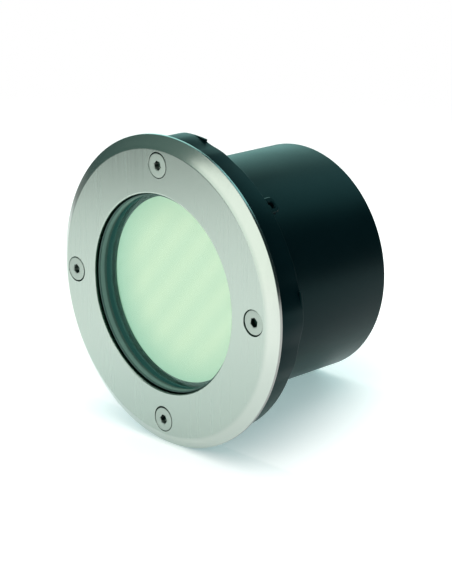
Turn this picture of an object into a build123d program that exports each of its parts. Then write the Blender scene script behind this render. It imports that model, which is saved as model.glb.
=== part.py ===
"""Round recessed light with a steel cover ring, a twist-lock disc lamp and a mounting sleeve.

The light looks out along -Y and goes into its wall along +Y. +Z is up and +X is to the right as seen
from the front. The origin is on the axis, in the plane of the collar's rear seat. Depths are Y values,
and a clock angle runs clockwise from the top as seen from the front. All lengths are in millimetres.
"""
from build123d import *
import math
import os

# Lamp
LAMP_DIAMETER = 75.0
LAMP_HEIGHT = 24.0
LAMP_GAP = 0.5
LAMP_FRONT_GAP = 0.3
LAMP_EDGE_ROUND = 2.0
LAMP_WALL = 1.4
LAMP_BACK_WALL = 1.8
LAMP_BACK_BEVEL = 2.5
DIFFUSER_DEPTH = 10.3
TRAY_THICKNESS = 1.2
TRAY_STEP = 1.2
BOSS_DIAMETER = 34.0
BOSS_HEIGHT = 6.0
VENT_COUNT = 18
VENT_WIDTH = 2.0
VENT_LENGTH = 5.0

# Folded tube of the lamp
TUBE_LEG_DIAMETER = 7.4
TUBE_LEG_PITCH = 9.0
TUBE_LEG_COUNT = 6
TUBE_LEG_ANGLE = 47.5
TUBE_CLEARANCE = 0.3
TUBE_SIDE_GAP = 0.6

# Contact pins of the lamp and their travel
PIN_SPACING = 53.0
PIN_NECK = 3.0
PIN_HEAD = 5.2
PIN_HEAD_HEIGHT = 1.5
PIN_PLAY = 0.4
TWIST_ANGLE = 22.0

# Electronics of the lamp
BOARD_THICKNESS = 1.6
BOARD_GAP = 0.3
CHOKE_WIDTH = 14.0
CHOKE_LENGTH = 11.0
CAPACITOR_DIAMETER = 3.6
CAPACITOR_LENGTH = 12.0
PART_CLEARANCE = 0.3

# Lampholder
HOLDER_DEPTH = 10.0
HOLDER_PLATE = 3.0
HOLDER_WALL = 2.0
HOLDER_GAP = 2.0
HOLDER_FRONT_GAP = 0.3
SLOT_PLAY = 0.5
CONTACT_THICKNESS = 0.6
CONTACT_WIDTH = 6.0
CONTACT_REACH_ANGLE = 10.0
CONTACT_TAIL_ANGLE = 40.0
CONTACT_POST_ANGLE = 22.0
HOLDER_SCREW_THREAD = 3.0
HOLDER_SCREW_HEAD = 5.6
HOLDER_SCREW_HEAD_HEIGHT = 1.8
HOLDER_SCREW_LENGTH = 14.0
POST_WALL = 2.1

# Housing
HOUSING_WALL = 1.6
HOUSING_BACK_WALL = 2.0
HOUSING_ROUND = 2.5
WIRE_ROOM = 9.0
LEDGE_WIDTH = 2.9
INSERT_WALL = 1.1
FLANGE_RIM = 1.3

# Glass, its seal and the shade ring
GLASS_THICKNESS = 4.0
GLASS_ROUND = 0.5
GLASS_HELD = 4.2
SEAL_LIP = 0.9
SEAL_WALL = 1.2
SEAL_GAP = 0.3
BEAD_REACH = 0.9
BEAD_HEIGHT = 2.6
SHADE_THICKNESS = 1.0
SHADE_SHOW = 2.5

# Cover ring and its screws
RING_THICKNESS = 4.0
RING_EDGE = 1.2
RING_BEVEL_WIDTH = 4.4
RING_BEVEL_ROUND = 0.5
RING_OVERHANG = 2.8
WINDOW_ROUND = 0.4
SCREW_COUNT = 4
SCREW_THREAD = 5.0
SCREW_HEAD = 8.6
SCREW_HEAD_RIM = 0.4
SCREW_LENGTH = 10.0
SCREW_KEY = 3.0
SCREW_KEY_DEPTH = 2.0
SCREW_SUNK = 0.1
SCREW_HOLE_PLAY = 0.25
INSERT_DIAMETER = 6.6
INSERT_LENGTH = 6.5
THREAD_PLAY = 0.1
HOLE_END_ROOM = 0.4

# Mounting sleeve
HOUSING_GAP = 0.3
SLEEVE_WALL = 1.6
SLEEVE_LENGTH = 54.0
SLEEVE_ROUND = 0.7
COLLAR_GAP = 0.3
COLLAR_WALL = 2.0
COLLAR_DEPTH = 10.4
COLLAR_FLOOR = 2.0
RING_SEAT_GAP = 0.2
RUBBER_DIAMETER = 1.5
RUBBER_GAP = 0.2

# Lugs, pads and eyelets of the collar
PAD_HEIGHT = 0.6
PAD_HALF_ANGLE = 22.0
LUG_HEIGHT = 1.9
LUG_FOOT_ANGLE = 8.5
LUG_CREST_ANGLE = 3.0
LUG_FALL_ANGLE = 14.0
LIP_END_ANGLE = 10.0
LIP_THICKNESS = 1.0
EYELET_TURN = 46.5
EYELET_INSET = 1.2
EYELET_WIDTH = 6.0
EYELET_HEIGHT = 4.8
EYELET_THICKNESS = 2.2
EYELET_HOLE = 2.4

# Cable gland in the back wall
GLAND_THREAD = 12.0
GLAND_BORE = 8.4
GLAND_KEY = 15.0
GLAND_FLANGE = 3.5
GLAND_NECK = 5.5
GLAND_INSIDE = 6.5
GLAND_WASHER = 1.0
LOCKNUT_KEY = 17.0
LOCKNUT_HEIGHT = 3.5
CABLE_DIAMETER = 7.0
CAP_LENGTH = 7.4
CAP_GAP = 0.2
CAP_END_WALL = 1.6

# Terminal block and inner wires
BLOCK_WIDTH = 11.0
BLOCK_LENGTH = 20.0
BLOCK_HEIGHT = 8.0
BLOCK_SCREW_HEAD = 3.0
BLOCK_SCREW_SUNK = 1.0
BLOCK_SCREW_DEPTH = 3.0
WIRE_DIAMETER = 1.8
WIRE_BEND = 3.0

# Radii, from the lamp outwards
lamp_r = LAMP_DIAMETER / 2
housing_bore = lamp_r + LAMP_GAP
housing_r = housing_bore + HOUSING_WALL
sleeve_bore = housing_r + HOUSING_GAP
sleeve_r = sleeve_bore + SLEEVE_WALL
seat_r = housing_bore + LEDGE_WIDTH
seal_r = seat_r - SEAL_GAP
glass_r = seal_r - SEAL_WALL
window_r = glass_r - GLASS_HELD
bead_r = window_r - BEAD_REACH
shade_bore = window_r - SHADE_SHOW
insert_r = INSERT_DIAMETER / 2
screw_circle = seat_r + INSERT_WALL + insert_r
flange_r = screw_circle + insert_r + FLANGE_RIM
collar_bore = flange_r + COLLAR_GAP
collar_r = collar_bore + COLLAR_WALL
collar_root = collar_r - COLLAR_WALL / 2
pad_r = collar_r + PAD_HEIGHT
ring_r = collar_r + RING_OVERHANG
holder_r = housing_bore - HOLDER_GAP
pin_circle = PIN_SPACING / 2
thread_r = SCREW_THREAD / 2
head_r = SCREW_HEAD / 2

# Depths, from the seat plane to the front
ring_back = -(COLLAR_DEPTH + RING_SEAT_GAP)
ring_face = ring_back - RING_THICKNESS
flange_back = -COLLAR_FLOOR
glass_front = ring_back + SEAL_LIP
glass_back = glass_front + GLASS_THICKNESS
seal_back = glass_back + SEAL_LIP
ledge = seal_back + SHADE_THICKNESS

# Depths, from the shade ring to the back
lamp_front = ledge + LAMP_FRONT_GAP
diffuser_back = lamp_front + DIFFUSER_DEPTH
tray_back = diffuser_back + TRAY_THICKNESS
lamp_back = lamp_front + LAMP_HEIGHT
base_floor = lamp_back - LAMP_BACK_WALL
boss_back = lamp_back + BOSS_HEIGHT
holder_front = lamp_back + HOLDER_FRONT_GAP
holder_inside = holder_front + HOLDER_PLATE
holder_back = holder_front + HOLDER_DEPTH
pin_head_front = holder_inside + PIN_PLAY
pin_back = pin_head_front + PIN_HEAD_HEIGHT
contact_front = pin_back + PIN_PLAY
contact_back = contact_front + CONTACT_THICKNESS
wall_inside = holder_back + WIRE_ROOM
wall_back = wall_inside + HOUSING_BACK_WALL
block_front = wall_inside - BLOCK_HEIGHT
wire_depth = wall_inside - BLOCK_HEIGHT / 2

QUARTER = 90.0
HEX_SIDES = 6
screw_clocks = [index * 360 / SCREW_COUNT for index in range(SCREW_COUNT)]
eyelet_clocks = [clock + EYELET_TURN for clock in screw_clocks[::2]]
pin_clocks = [QUARTER, 3 * QUARTER]
post_clocks = [0.0, 2 * QUARTER]


def section(*corners, rounds=None):
    """Flat outline through corners of (radius, depth), with the listed corners rounded."""
    outline = make_face(Polyline(*corners, close=True))
    for corner, radius in (rounds or {}).items():
        place = Vector(*corner)
        touched = [vertex for vertex in outline.vertices() if (vertex.center() - place).length < radius / 100]
        outline = fillet(touched, radius)
    return outline


def turned(*corners, rounds=None):
    """Solid turned about the light's axis from corners of (radius, depth)."""
    return revolve(section(*corners, rounds=rounds), Axis.Y)


def sector(inner, outer, front, back, start, end):
    """Part of a ring between two clock angles."""
    outline = section((inner, front), (outer, front), (outer, back), (inner, back))
    return Rot(0, start - QUARTER, 0) * revolve(outline, Axis.Y, end - start)


def facing_back(depth, x=0.0, z=0.0):
    """Plane across the axis at a depth, with its normal along +Y."""
    return Plane(origin=(x, depth, z), x_dir=(1, 0, 0), z_dir=(0, 1, 0))


def at_clock(radius, clock):
    """X and Z of a point at a radius and a clock angle."""
    angle = math.radians(clock)
    return radius * math.sin(angle), radius * math.cos(angle)


def peg(radius, front, back, place=(0.0, 0.0)):
    """Round bar along the axis between two depths, at an (x, z) place."""
    return extrude(facing_back(front, *place) * Circle(radius), back - front)


def prism(key, front, back, place=(0.0, 0.0)):
    """Six-sided bar along the axis, key across its flats."""
    outline = RegularPolygon(key / 2, HEX_SIDES, major_radius=False)
    return extrude(facing_back(front, *place) * outline, back - front)


def funnel(front_radius, back_radius, front, back, place=(0.0, 0.0)):
    """Cone along the axis between two depths."""
    x, z = place
    shape = Cone(front_radius, back_radius, back - front, align=(Align.CENTER, Align.CENTER, Align.MIN))
    return Pos(x, front, z) * Rot(-QUARTER, 0, 0) * shape


def front_ring():
    """Flat steel ring with a wide outer bevel, a softened window edge and countersunk holes."""
    bevel_r = ring_r - RING_BEVEL_WIDTH
    window_edge = (window_r, ring_face)
    bevel_edge = (bevel_r, ring_face)
    ring = turned(
        window_edge,
        bevel_edge,
        (ring_r, ring_back - RING_EDGE),
        (ring_r, ring_back),
        (window_r, ring_back),
        rounds={window_edge: WINDOW_ROUND, bevel_edge: RING_BEVEL_ROUND},
    )
    sink_r = head_r + SCREW_HOLE_PLAY
    hole_r = thread_r + SCREW_HOLE_PLAY
    rim_depth = ring_face + SCREW_SUNK + SCREW_HEAD_RIM
    for clock in screw_clocks:
        place = at_clock(screw_circle, clock)
        ring -= peg(sink_r, ring_face, rim_depth, place)
        ring -= funnel(sink_r, hole_r, rim_depth, rim_depth + sink_r - hole_r, place)
        ring -= peg(hole_r, ring_face, ring_back, place)
    return ring


def ring_screw(clock):
    """Countersunk screw with a hexagon socket."""
    place = at_clock(screw_circle, clock)
    top = ring_face + SCREW_SUNK
    cone_front = top + SCREW_HEAD_RIM
    cone_back = cone_front + head_r - thread_r
    screw = peg(head_r, top, cone_front, place)
    screw += funnel(head_r, thread_r, cone_front, cone_back, place)
    screw += peg(thread_r, cone_back, top + SCREW_LENGTH, place)
    return screw - prism(SCREW_KEY, top, top + SCREW_KEY_DEPTH, place)


def threaded_insert(clock):
    """Brass bush in the housing's flange that takes one ring screw."""
    place = at_clock(screw_circle, clock)
    bush = peg(insert_r, ring_back, ring_back + INSERT_LENGTH, place)
    return bush - peg(thread_r + THREAD_PLAY, ring_back, ring_back + INSERT_LENGTH, place)


def glass_disc():
    """Flat glass with softened edges."""
    front_edge = (glass_r, glass_front)
    back_edge = (glass_r, glass_back)
    corners = [(0, glass_front), front_edge, back_edge, (0, glass_back)]
    return turned(*corners, rounds={front_edge: GLASS_ROUND, back_edge: GLASS_ROUND})


def glass_seal():
    """Rubber U-profile round the glass, with a bead that stands up inside the window."""
    bead_top = ring_back - BEAD_HEIGHT
    bead_outer = window_r - SEAL_GAP
    top_inner = (bead_r, bead_top)
    top_outer = (bead_outer, bead_top)
    bead_round = (bead_outer - bead_r) * 0.45
    return turned(
        top_inner,
        top_outer,
        (bead_outer, ring_back),
        (seal_r, ring_back),
        (seal_r, seal_back),
        (bead_r, seal_back),
        (bead_r, glass_back),
        (glass_r, glass_back),
        (glass_r, glass_front),
        (bead_r, glass_front),
        rounds={top_inner: bead_round, top_outer: bead_round},
    )


def shade_ring():
    """Flat ring behind the glass that hides the lamp's edge."""
    return turned((shade_bore, seal_back), (seal_r, seal_back), (seal_r, ledge), (shade_bore, ledge))


def lamp_housing():
    """Pot with a thick flange for the glass and the screws, and posts for the lampholder."""
    rabbet = RUBBER_DIAMETER + RUBBER_GAP
    back_edge = (housing_r, wall_back)
    gland_hole = GLAND_THREAD / 2 + THREAD_PLAY
    pot = turned(
        (seat_r, ring_back),
        (flange_r, ring_back),
        (flange_r, flange_back - rabbet),
        (flange_r - rabbet, flange_back - rabbet),
        (flange_r - rabbet, flange_back),
        (housing_r, flange_back),
        back_edge,
        (gland_hole, wall_back),
        (gland_hole, wall_inside),
        (housing_bore, wall_inside),
        (housing_bore, ledge),
        (seat_r, ledge),
        rounds={back_edge: HOUSING_ROUND},
    )
    post_r = HOLDER_SCREW_THREAD / 2 + POST_WALL
    for clock in post_clocks:
        place = at_clock(pin_circle, clock)
        pot += peg(post_r, holder_back, wall_inside, place)
        pot -= peg(HOLDER_SCREW_THREAD / 2 + THREAD_PLAY, holder_back, wall_inside, place)
    for clock in screw_clocks:
        place = at_clock(screw_circle, clock)
        pot -= peg(insert_r, ring_back, ring_back + INSERT_LENGTH + HOLE_END_ROOM, place)
    return pot


def housing_seal():
    """Rubber ring in the corner behind the housing's flange."""
    middle = flange_r - RUBBER_DIAMETER / 2 - RUBBER_GAP / 2
    depth = flange_back - RUBBER_DIAMETER / 2 - RUBBER_GAP / 2
    return revolve(Pos(middle, depth) * Circle(RUBBER_DIAMETER / 2), Axis.Y)


def mounting_sleeve():
    """Tube with a hollow collar, and the lugs, pads and eyelets round the collar."""
    rear_edge = (sleeve_r, SLEEVE_LENGTH)
    sleeve = turned(
        (collar_bore, -COLLAR_DEPTH),
        (collar_r, -COLLAR_DEPTH),
        (collar_r, 0),
        (sleeve_r, 0),
        rear_edge,
        (sleeve_bore, SLEEVE_LENGTH),
        (sleeve_bore, flange_back),
        (collar_bore, flange_back),
        rounds={rear_edge: SLEEVE_ROUND},
    )
    pad = sector(collar_root, pad_r, -COLLAR_DEPTH, 0, -PAD_HALF_ANGLE, PAD_HALF_ANGLE)
    right_hand = pad + lug()
    left_hand = mirror(right_hand, about=Plane.YZ)
    for index, clock in enumerate(screw_clocks):
        sleeve += Rot(0, clock, 0) * (left_hand if index % 2 else right_hand)
    for clock in eyelet_clocks:
        sleeve += eyelet(clock)
    return sleeve


def lug():
    """Raised lug on top of the collar, with a short ramp, a long one and a thin lip behind the long one."""
    top = collar_r + LUG_HEIGHT
    corners = [
        (collar_root, -LUG_FOOT_ANGLE),
        (pad_r, -LUG_FOOT_ANGLE),
        (top, -LUG_CREST_ANGLE),
        (top, 0),
        ((top + pad_r) / 2, LUG_FALL_ANGLE / 2),
        (pad_r, LUG_FALL_ANGLE),
        (collar_root, LUG_FALL_ANGLE),
    ]
    places = [at_clock(*corner) for corner in corners]
    outline = make_face(Polyline(*[(x, -z) for x, z in places], close=True))
    ridge = extrude(facing_back(-COLLAR_DEPTH) * outline, COLLAR_DEPTH)
    return ridge + sector(collar_root, top, -LIP_THICKNESS, 0, 0, LIP_END_ANGLE)


def eyelet(clock):
    """Small upright tab on the collar's rear edge with a hole through it."""
    rounded = EYELET_WIDTH * 0.3
    outline = make_face(Polyline(
        (-EYELET_WIDTH / 2, -COLLAR_FLOOR / 2),
        (EYELET_WIDTH / 2, -COLLAR_FLOOR / 2),
        (EYELET_WIDTH / 2, EYELET_HEIGHT),
        (-EYELET_WIDTH / 2, EYELET_HEIGHT),
        close=True,
    ))
    outline = fillet(outline.vertices().group_by(Axis.Y)[-1], rounded)
    outline -= Pos(0, EYELET_HEIGHT / 2) * Circle(EYELET_HOLE / 2)
    tab = extrude(Pos(0, 0, collar_r - EYELET_INSET - EYELET_THICKNESS) * outline, EYELET_THICKNESS)
    return Rot(0, clock, 0) * tab


def lamp_diffuser():
    """Frosted cap of the lamp, with a soft shoulder."""
    inner = lamp_r - LAMP_WALL
    edge = (lamp_r, lamp_front)
    return turned(
        (0, lamp_front),
        edge,
        (lamp_r, diffuser_back),
        (inner, diffuser_back),
        (inner, lamp_front + LAMP_WALL),
        (0, lamp_front + LAMP_WALL),
        rounds={edge: LAMP_EDGE_ROUND},
    )


def tube_route():
    """Flat serpentine of straight legs and half-circle bends, in the plane of the lamp's tube."""
    leg_r = TUBE_LEG_DIAMETER / 2
    bend_r = TUBE_LEG_PITCH / 2
    bend_limit = lamp_r - LAMP_WALL - TUBE_SIDE_GAP - leg_r - bend_r
    offsets = [(index - (TUBE_LEG_COUNT - 1) / 2) * TUBE_LEG_PITCH for index in range(TUBE_LEG_COUNT)]
    middles = [(low + high) / 2 for low, high in zip(offsets, offsets[1:])]
    reaches = [math.sqrt(bend_limit**2 - middle**2) for middle in middles]
    starts = [reaches[0], *reaches]
    ends = [*reaches, reaches[-1]]
    edges = []
    for index, offset in enumerate(offsets):
        way = 1 if index % 2 == 0 else -1
        edges.append(Line((-way * starts[index], offset), (way * ends[index], offset)))
        if index < len(middles):
            turn = way * ends[index]
            arc = ThreePointArc(
                (turn, offset), (turn + way * bend_r, middles[index]), (turn, offsets[index + 1])
            )
            edges.append(arc)
    return Wire(edges)


def lamp_tube():
    """Folded tube that lies just in front of the tray."""
    leg_r = TUBE_LEG_DIAMETER / 2
    route = tube_route()
    start = Plane(origin=route @ 0, z_dir=route % 0)
    tube = sweep(start * Circle(leg_r), path=route)
    depth = diffuser_back - TUBE_CLEARANCE - leg_r
    return Pos(0, depth, 0) * Rot(0, -TUBE_LEG_ANGLE, 0) * Rot(QUARTER, 0, 0) * tube


def lamp_tray():
    """White plate that carries the tube, on a step in the lamp's base."""
    tray_r = lamp_r - LAMP_WALL - BOARD_GAP
    return peg(tray_r, diffuser_back, tray_back)


def lamp_base():
    """Back shell of the lamp: a rim for the diffuser, a bevelled back, a boss and a ring of vents."""
    rim_bore = lamp_r - LAMP_WALL
    bore = rim_bore - TRAY_STEP
    shell = turned(
        (rim_bore, diffuser_back),
        (lamp_r, diffuser_back),
        (lamp_r, lamp_back - LAMP_BACK_BEVEL),
        (lamp_r - LAMP_BACK_BEVEL, lamp_back),
        (BOSS_DIAMETER / 2, lamp_back),
        (BOSS_DIAMETER / 2, boss_back),
        (0, boss_back),
        (0, base_floor),
        (bore, base_floor),
        (bore, tray_back),
        (rim_bore, tray_back),
    )
    vent = Pos(lamp_r - LAMP_WALL, (tray_back + base_floor) / 2, 0) * Box(
        2 * (LAMP_WALL + TRAY_STEP), VENT_LENGTH, VENT_WIDTH
    )
    vents = [Rot(0, index * 360 / VENT_COUNT, 0) * vent for index in range(VENT_COUNT)]
    return shell - vents


def lamp_pin(clock):
    """Contact pin with a wide head that hooks behind the lampholder's plate."""
    place = at_clock(pin_circle, clock)
    neck = peg(PIN_NECK / 2, lamp_back, pin_head_front, place)
    return neck + peg(PIN_HEAD / 2, pin_head_front, pin_back, place)


def ballast_board():
    """Round circuit board across the middle of the lamp's base."""
    board_r = lamp_r - LAMP_WALL - TRAY_STEP - BOARD_GAP
    return peg(board_r, board_front(), board_front() + BOARD_THICKNESS)


def board_front():
    """Depth of the board's front face, half way through the base."""
    return (tray_back + base_floor - BOARD_THICKNESS) / 2


def ballast_choke():
    """Wound block on the front of the board."""
    height = board_front() - tray_back - PART_CLEARANCE
    block = Box(CHOKE_WIDTH, height, CHOKE_LENGTH)
    return Pos(CHOKE_WIDTH * 0.8, board_front() - height / 2, CHOKE_LENGTH * 0.6) * block


def ballast_capacitor():
    """Small can that lies on the back of the board."""
    radius = CAPACITOR_DIAMETER / 2
    can = Rot(0, QUARTER, 0) * Cylinder(radius, CAPACITOR_LENGTH)
    return Pos(-CAPACITOR_LENGTH, board_front() + BOARD_THICKNESS + radius, -CAPACITOR_LENGTH / 2) * can


def lampholder():
    """Round cup with a central hole and two keyhole slots that take the lamp's pins."""
    hole_r = BOSS_DIAMETER / 2 + LAMP_GAP
    cup = turned(
        (hole_r, holder_front),
        (holder_r, holder_front),
        (holder_r, holder_back),
        (holder_r - HOLDER_WALL, holder_back),
        (holder_r - HOLDER_WALL, holder_inside),
        (hole_r, holder_inside),
    )
    neck_r = PIN_NECK / 2 + SLOT_PLAY
    entry_r = PIN_HEAD / 2 + SLOT_PLAY
    tube_r = HOLDER_SCREW_THREAD / 2 + POST_WALL
    for clock in pin_clocks:
        entry = clock - TWIST_ANGLE
        cup -= sector(pin_circle - neck_r, pin_circle + neck_r, holder_front, holder_inside, entry, clock)
        cup -= peg(neck_r, holder_front, holder_inside, at_clock(pin_circle, clock))
        cup -= peg(entry_r, holder_front, holder_inside, at_clock(pin_circle, entry))
        inner, outer = pin_circle - CONTACT_WIDTH / 2, pin_circle + CONTACT_WIDTH / 2
        post_start, post_end = clock + CONTACT_POST_ANGLE, clock + CONTACT_TAIL_ANGLE
        cup += sector(inner, outer, holder_inside, contact_front, post_start, post_end)
    for clock in post_clocks:
        place = at_clock(pin_circle, clock)
        cup += peg(tube_r, holder_inside, holder_back, place)
        cup -= peg(HOLDER_SCREW_THREAD / 2 + THREAD_PLAY, holder_front, holder_back, place)
        head_room = HOLDER_SCREW_HEAD_HEIGHT + THREAD_PLAY
        cup -= peg(HOLDER_SCREW_HEAD / 2 + THREAD_PLAY, holder_front, holder_front + head_room, place)
    return cup


def holder_contact(clock):
    """Brass leaf on its post, reaching behind the head of one pin."""
    inner, outer = pin_circle - CONTACT_WIDTH / 2, pin_circle + CONTACT_WIDTH / 2
    start, end = clock - CONTACT_REACH_ANGLE, clock + CONTACT_TAIL_ANGLE
    return sector(inner, outer, contact_front, contact_back, start, end)


def holder_screw(clock):
    """Cheese-head screw through the lampholder into its post."""
    place = at_clock(pin_circle, clock)
    top = holder_front + THREAD_PLAY
    shank = top + HOLDER_SCREW_HEAD_HEIGHT
    screw = peg(HOLDER_SCREW_HEAD / 2, top, shank, place)
    return screw + peg(HOLDER_SCREW_THREAD / 2, shank, shank + HOLDER_SCREW_LENGTH, place)


def block_x():
    """X of the terminal block's middle, beside the gland's locknut."""
    return -at_clock(pin_circle, contact_end_clock())[0]


def contact_end_clock():
    """Clock angle where a wire meets the right-hand contact, just inside its end."""
    return QUARTER + CONTACT_TAIL_ANGLE - math.degrees(WIRE_DIAMETER / pin_circle)


def screw_places():
    """X and Z of the terminal block's four screws."""
    step = BLOCK_LENGTH / 4
    across = BLOCK_WIDTH / 4
    return [(block_x() + side * across, along * step) for side in (-1, 1) for along in (-1, 1)]


def terminal_block():
    """Two-way block on the housing's back wall, with a hole over each screw."""
    block = Pos(block_x(), wire_depth, 0) * Box(BLOCK_WIDTH, BLOCK_HEIGHT, BLOCK_LENGTH)
    block = chamfer(block.edges().group_by(Axis.Y)[0].filter_by(Axis.Z), BLOCK_SCREW_SUNK)
    for place in screw_places():
        hole_r = BLOCK_SCREW_HEAD / 2
        block -= peg(hole_r, block_front, block_front + BLOCK_SCREW_SUNK + BLOCK_SCREW_DEPTH, place)
    return block


def terminal_screw(place):
    """Slotted screw sunk in the terminal block."""
    top = block_front + BLOCK_SCREW_SUNK
    screw = peg(BLOCK_SCREW_HEAD / 2 - THREAD_PLAY, top, top + BLOCK_SCREW_DEPTH, place)
    x, z = place
    slot = Pos(x, top, z) * Box(BLOCK_SCREW_HEAD, BLOCK_SCREW_SUNK, BLOCK_SCREW_HEAD / 5)
    return screw - slot


def wire(points):
    """Round wire along straight runs joined by arcs."""
    route = FilletPolyline(*points, radius=WIRE_BEND)
    start = Plane(origin=route @ 0, z_dir=route % 0)
    return sweep(start * Circle(WIRE_DIAMETER / 2), path=route)


def live_wire():
    """Wire from the left contact to the upper end of the terminal block."""
    x, z = at_clock(pin_circle, contact_end_clock() + 2 * QUARTER)
    return wire([(x, contact_back, z), (x, wire_depth, z), (x, wire_depth, BLOCK_LENGTH / 2)])


def neutral_wire():
    """Wire from the right contact, under the gland, to the lower end of the terminal block."""
    x, z = at_clock(pin_circle, contact_end_clock())
    low = z - WIRE_BEND / 2
    return wire([
        (x, contact_back, z),
        (x, wire_depth, z),
        (x / 2, wire_depth, low),
        (-x, wire_depth, low),
        (-x, wire_depth, -BLOCK_LENGTH / 2),
    ])


def gland_body():
    """Threaded tube with a six-sided flange, through the housing's back wall."""
    thread = GLAND_THREAD / 2
    flange_front = wall_back + GLAND_WASHER
    flange_end = flange_front + GLAND_FLANGE
    body = peg(thread, wall_inside - GLAND_INSIDE, flange_end + GLAND_NECK)
    body += prism(GLAND_KEY, flange_front, flange_end)
    return body - peg(GLAND_BORE / 2, wall_inside - GLAND_INSIDE, flange_end + GLAND_NECK)


def gland_washer():
    """Flat rubber washer under the gland's flange."""
    thread = GLAND_THREAD / 2 + THREAD_PLAY
    outer = GLAND_KEY / 2
    front, back = wall_back, wall_back + GLAND_WASHER
    return turned((thread, front), (outer, front), (outer, back), (thread, back))


def gland_locknut():
    """Nut that holds the gland from inside the housing."""
    nut = prism(LOCKNUT_KEY, wall_inside - LOCKNUT_HEIGHT, wall_inside)
    return nut - peg(GLAND_THREAD / 2 + THREAD_PLAY, wall_inside - LOCKNUT_HEIGHT, wall_inside)


def gland_sleeve():
    """Rubber sleeve inside the gland that grips the cable."""
    bore = CABLE_DIAMETER / 2
    outer = GLAND_BORE / 2 - THREAD_PLAY
    front = wall_back
    back = wall_back + GLAND_WASHER + GLAND_FLANGE + GLAND_NECK
    return turned((bore, front), (outer, front), (outer, back), (bore, back))


def gland_cap():
    """Six-sided cap screwed over the gland's neck, with a rounded end."""
    front = wall_back + GLAND_WASHER + GLAND_FLANGE + CAP_GAP
    back = front + CAP_LENGTH
    corner_r = GLAND_KEY / 2 / math.cos(math.pi / HEX_SIDES)
    cone_end = GLAND_KEY / 2 - CAP_END_WALL
    hex_bar = prism(GLAND_KEY, front, back)
    dome = turned(
        (0, front), (corner_r, front), (corner_r, back - (corner_r - cone_end)), (cone_end, back), (0, back)
    )
    cap = hex_bar & dome
    cap -= peg(GLAND_THREAD / 2 + THREAD_PLAY, front, back - CAP_END_WALL)
    return cap - peg(GLAND_BORE / 2, front, back)


def group(maker, places):
    """Separate solids of one kind, one at each place."""
    return Compound(children=[Part(maker(place).wrapped) for place in places])


NODES = {
    "front_ring": front_ring(),
    "ring_screws": group(ring_screw, screw_clocks),
    "glass": glass_disc(),
    "glass_seal": glass_seal(),
    "shade_ring": shade_ring(),
    "mounting_sleeve": mounting_sleeve(),
    "lamp_housing": lamp_housing(),
    "housing_seal": housing_seal(),
    "threaded_inserts": group(threaded_insert, screw_clocks),
    "lamp_diffuser": lamp_diffuser(),
    "lamp_tube": lamp_tube(),
    "lamp_tray": lamp_tray(),
    "lamp_base": lamp_base(),
    "lamp_pins": group(lamp_pin, pin_clocks),
    "ballast_board": ballast_board(),
    "ballast_choke": ballast_choke(),
    "ballast_capacitor": ballast_capacitor(),
    "lampholder": lampholder(),
    "holder_contacts": group(holder_contact, pin_clocks),
    "holder_screws": group(holder_screw, post_clocks),
    "terminal_block": terminal_block(),
    "terminal_screws": group(terminal_screw, screw_places()),
    "live_wire": live_wire(),
    "neutral_wire": neutral_wire(),
    "gland_body": gland_body(),
    "gland_washer": gland_washer(),
    "gland_locknut": gland_locknut(),
    "gland_sleeve": gland_sleeve(),
    "gland_cap": gland_cap(),
}

os.makedirs("parts", exist_ok=True)
for name, shape in NODES.items():
    export_step(shape, f"parts/{name}.step")
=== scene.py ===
"""Round recessed light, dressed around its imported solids.

The light looks out along -Y and goes into its wall along +Y. +Z is up and +X is to the right as seen from
the front. A clock angle runs clockwise from the top as seen from the front. Sizes of pieces are given in
millimetres and meshes are made in metres.
"""
import logging
import math
from dataclasses import dataclass
from enum import Enum
from typing import Any, Optional, Sequence, Union

import bmesh
import bpy
import numpy as np
from mathutils import Matrix, Vector


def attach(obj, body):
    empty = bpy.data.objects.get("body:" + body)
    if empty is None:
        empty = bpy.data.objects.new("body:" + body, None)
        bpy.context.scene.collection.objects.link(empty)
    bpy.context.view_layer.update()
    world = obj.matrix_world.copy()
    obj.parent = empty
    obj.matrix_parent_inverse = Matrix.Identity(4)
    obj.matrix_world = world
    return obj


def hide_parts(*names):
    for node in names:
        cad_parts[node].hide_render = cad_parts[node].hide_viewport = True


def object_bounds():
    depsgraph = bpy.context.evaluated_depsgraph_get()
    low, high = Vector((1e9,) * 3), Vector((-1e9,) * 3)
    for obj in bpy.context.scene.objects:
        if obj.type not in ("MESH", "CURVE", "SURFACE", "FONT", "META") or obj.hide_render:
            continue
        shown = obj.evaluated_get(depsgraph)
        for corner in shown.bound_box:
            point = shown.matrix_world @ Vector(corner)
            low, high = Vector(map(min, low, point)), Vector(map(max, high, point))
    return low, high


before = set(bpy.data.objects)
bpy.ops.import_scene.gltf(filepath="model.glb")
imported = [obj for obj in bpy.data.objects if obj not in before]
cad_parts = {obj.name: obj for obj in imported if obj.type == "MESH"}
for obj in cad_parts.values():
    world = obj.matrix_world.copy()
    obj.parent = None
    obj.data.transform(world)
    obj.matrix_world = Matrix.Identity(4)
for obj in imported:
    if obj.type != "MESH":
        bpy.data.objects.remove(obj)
CAD_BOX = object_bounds()

LOG = logging.getLogger("recessed_light")
MM = 0.001
TURN = 2 * math.pi
COLUMNS = 360
SMALL_COLUMNS = 72
GLAND_COLUMNS = 180
ARC_STEPS = 6
WELD = 1e-6
SHARP = math.radians(32)
BUMP_REACH = 0.05 * MM
SCREW_STEP = 90.0
SCREW_CLOCKS = (0.0, 90.0, 180.0, 270.0)
SCREW_CIRCLE = 45.3
# How far each screw's head lies off its axis, across and upwards
SCREW_SLACK = ((-0.2, -0.2), (0.22, 0.16), (-0.12, -0.24), (-0.28, 0.0))
EYELET_CLOCKS = (46.5, 226.5)
# Colour of the painted shade in the screw sockets, the gaps round the heads and the window's wall
RECESS_SHADE = (0.013, 0.042, 0.032)
# Bevel band's colour: polished steel, lightened as a painted highlight
POLISH_AND_HIGHLIGHT = (0.485, 0.54, 0.495)
SAWN = (0.28, 0.285, 0.275)
BLACK = (0.0, 0.0, 0.0)
WHITE = (1.0, 1.0, 1.0)

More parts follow.
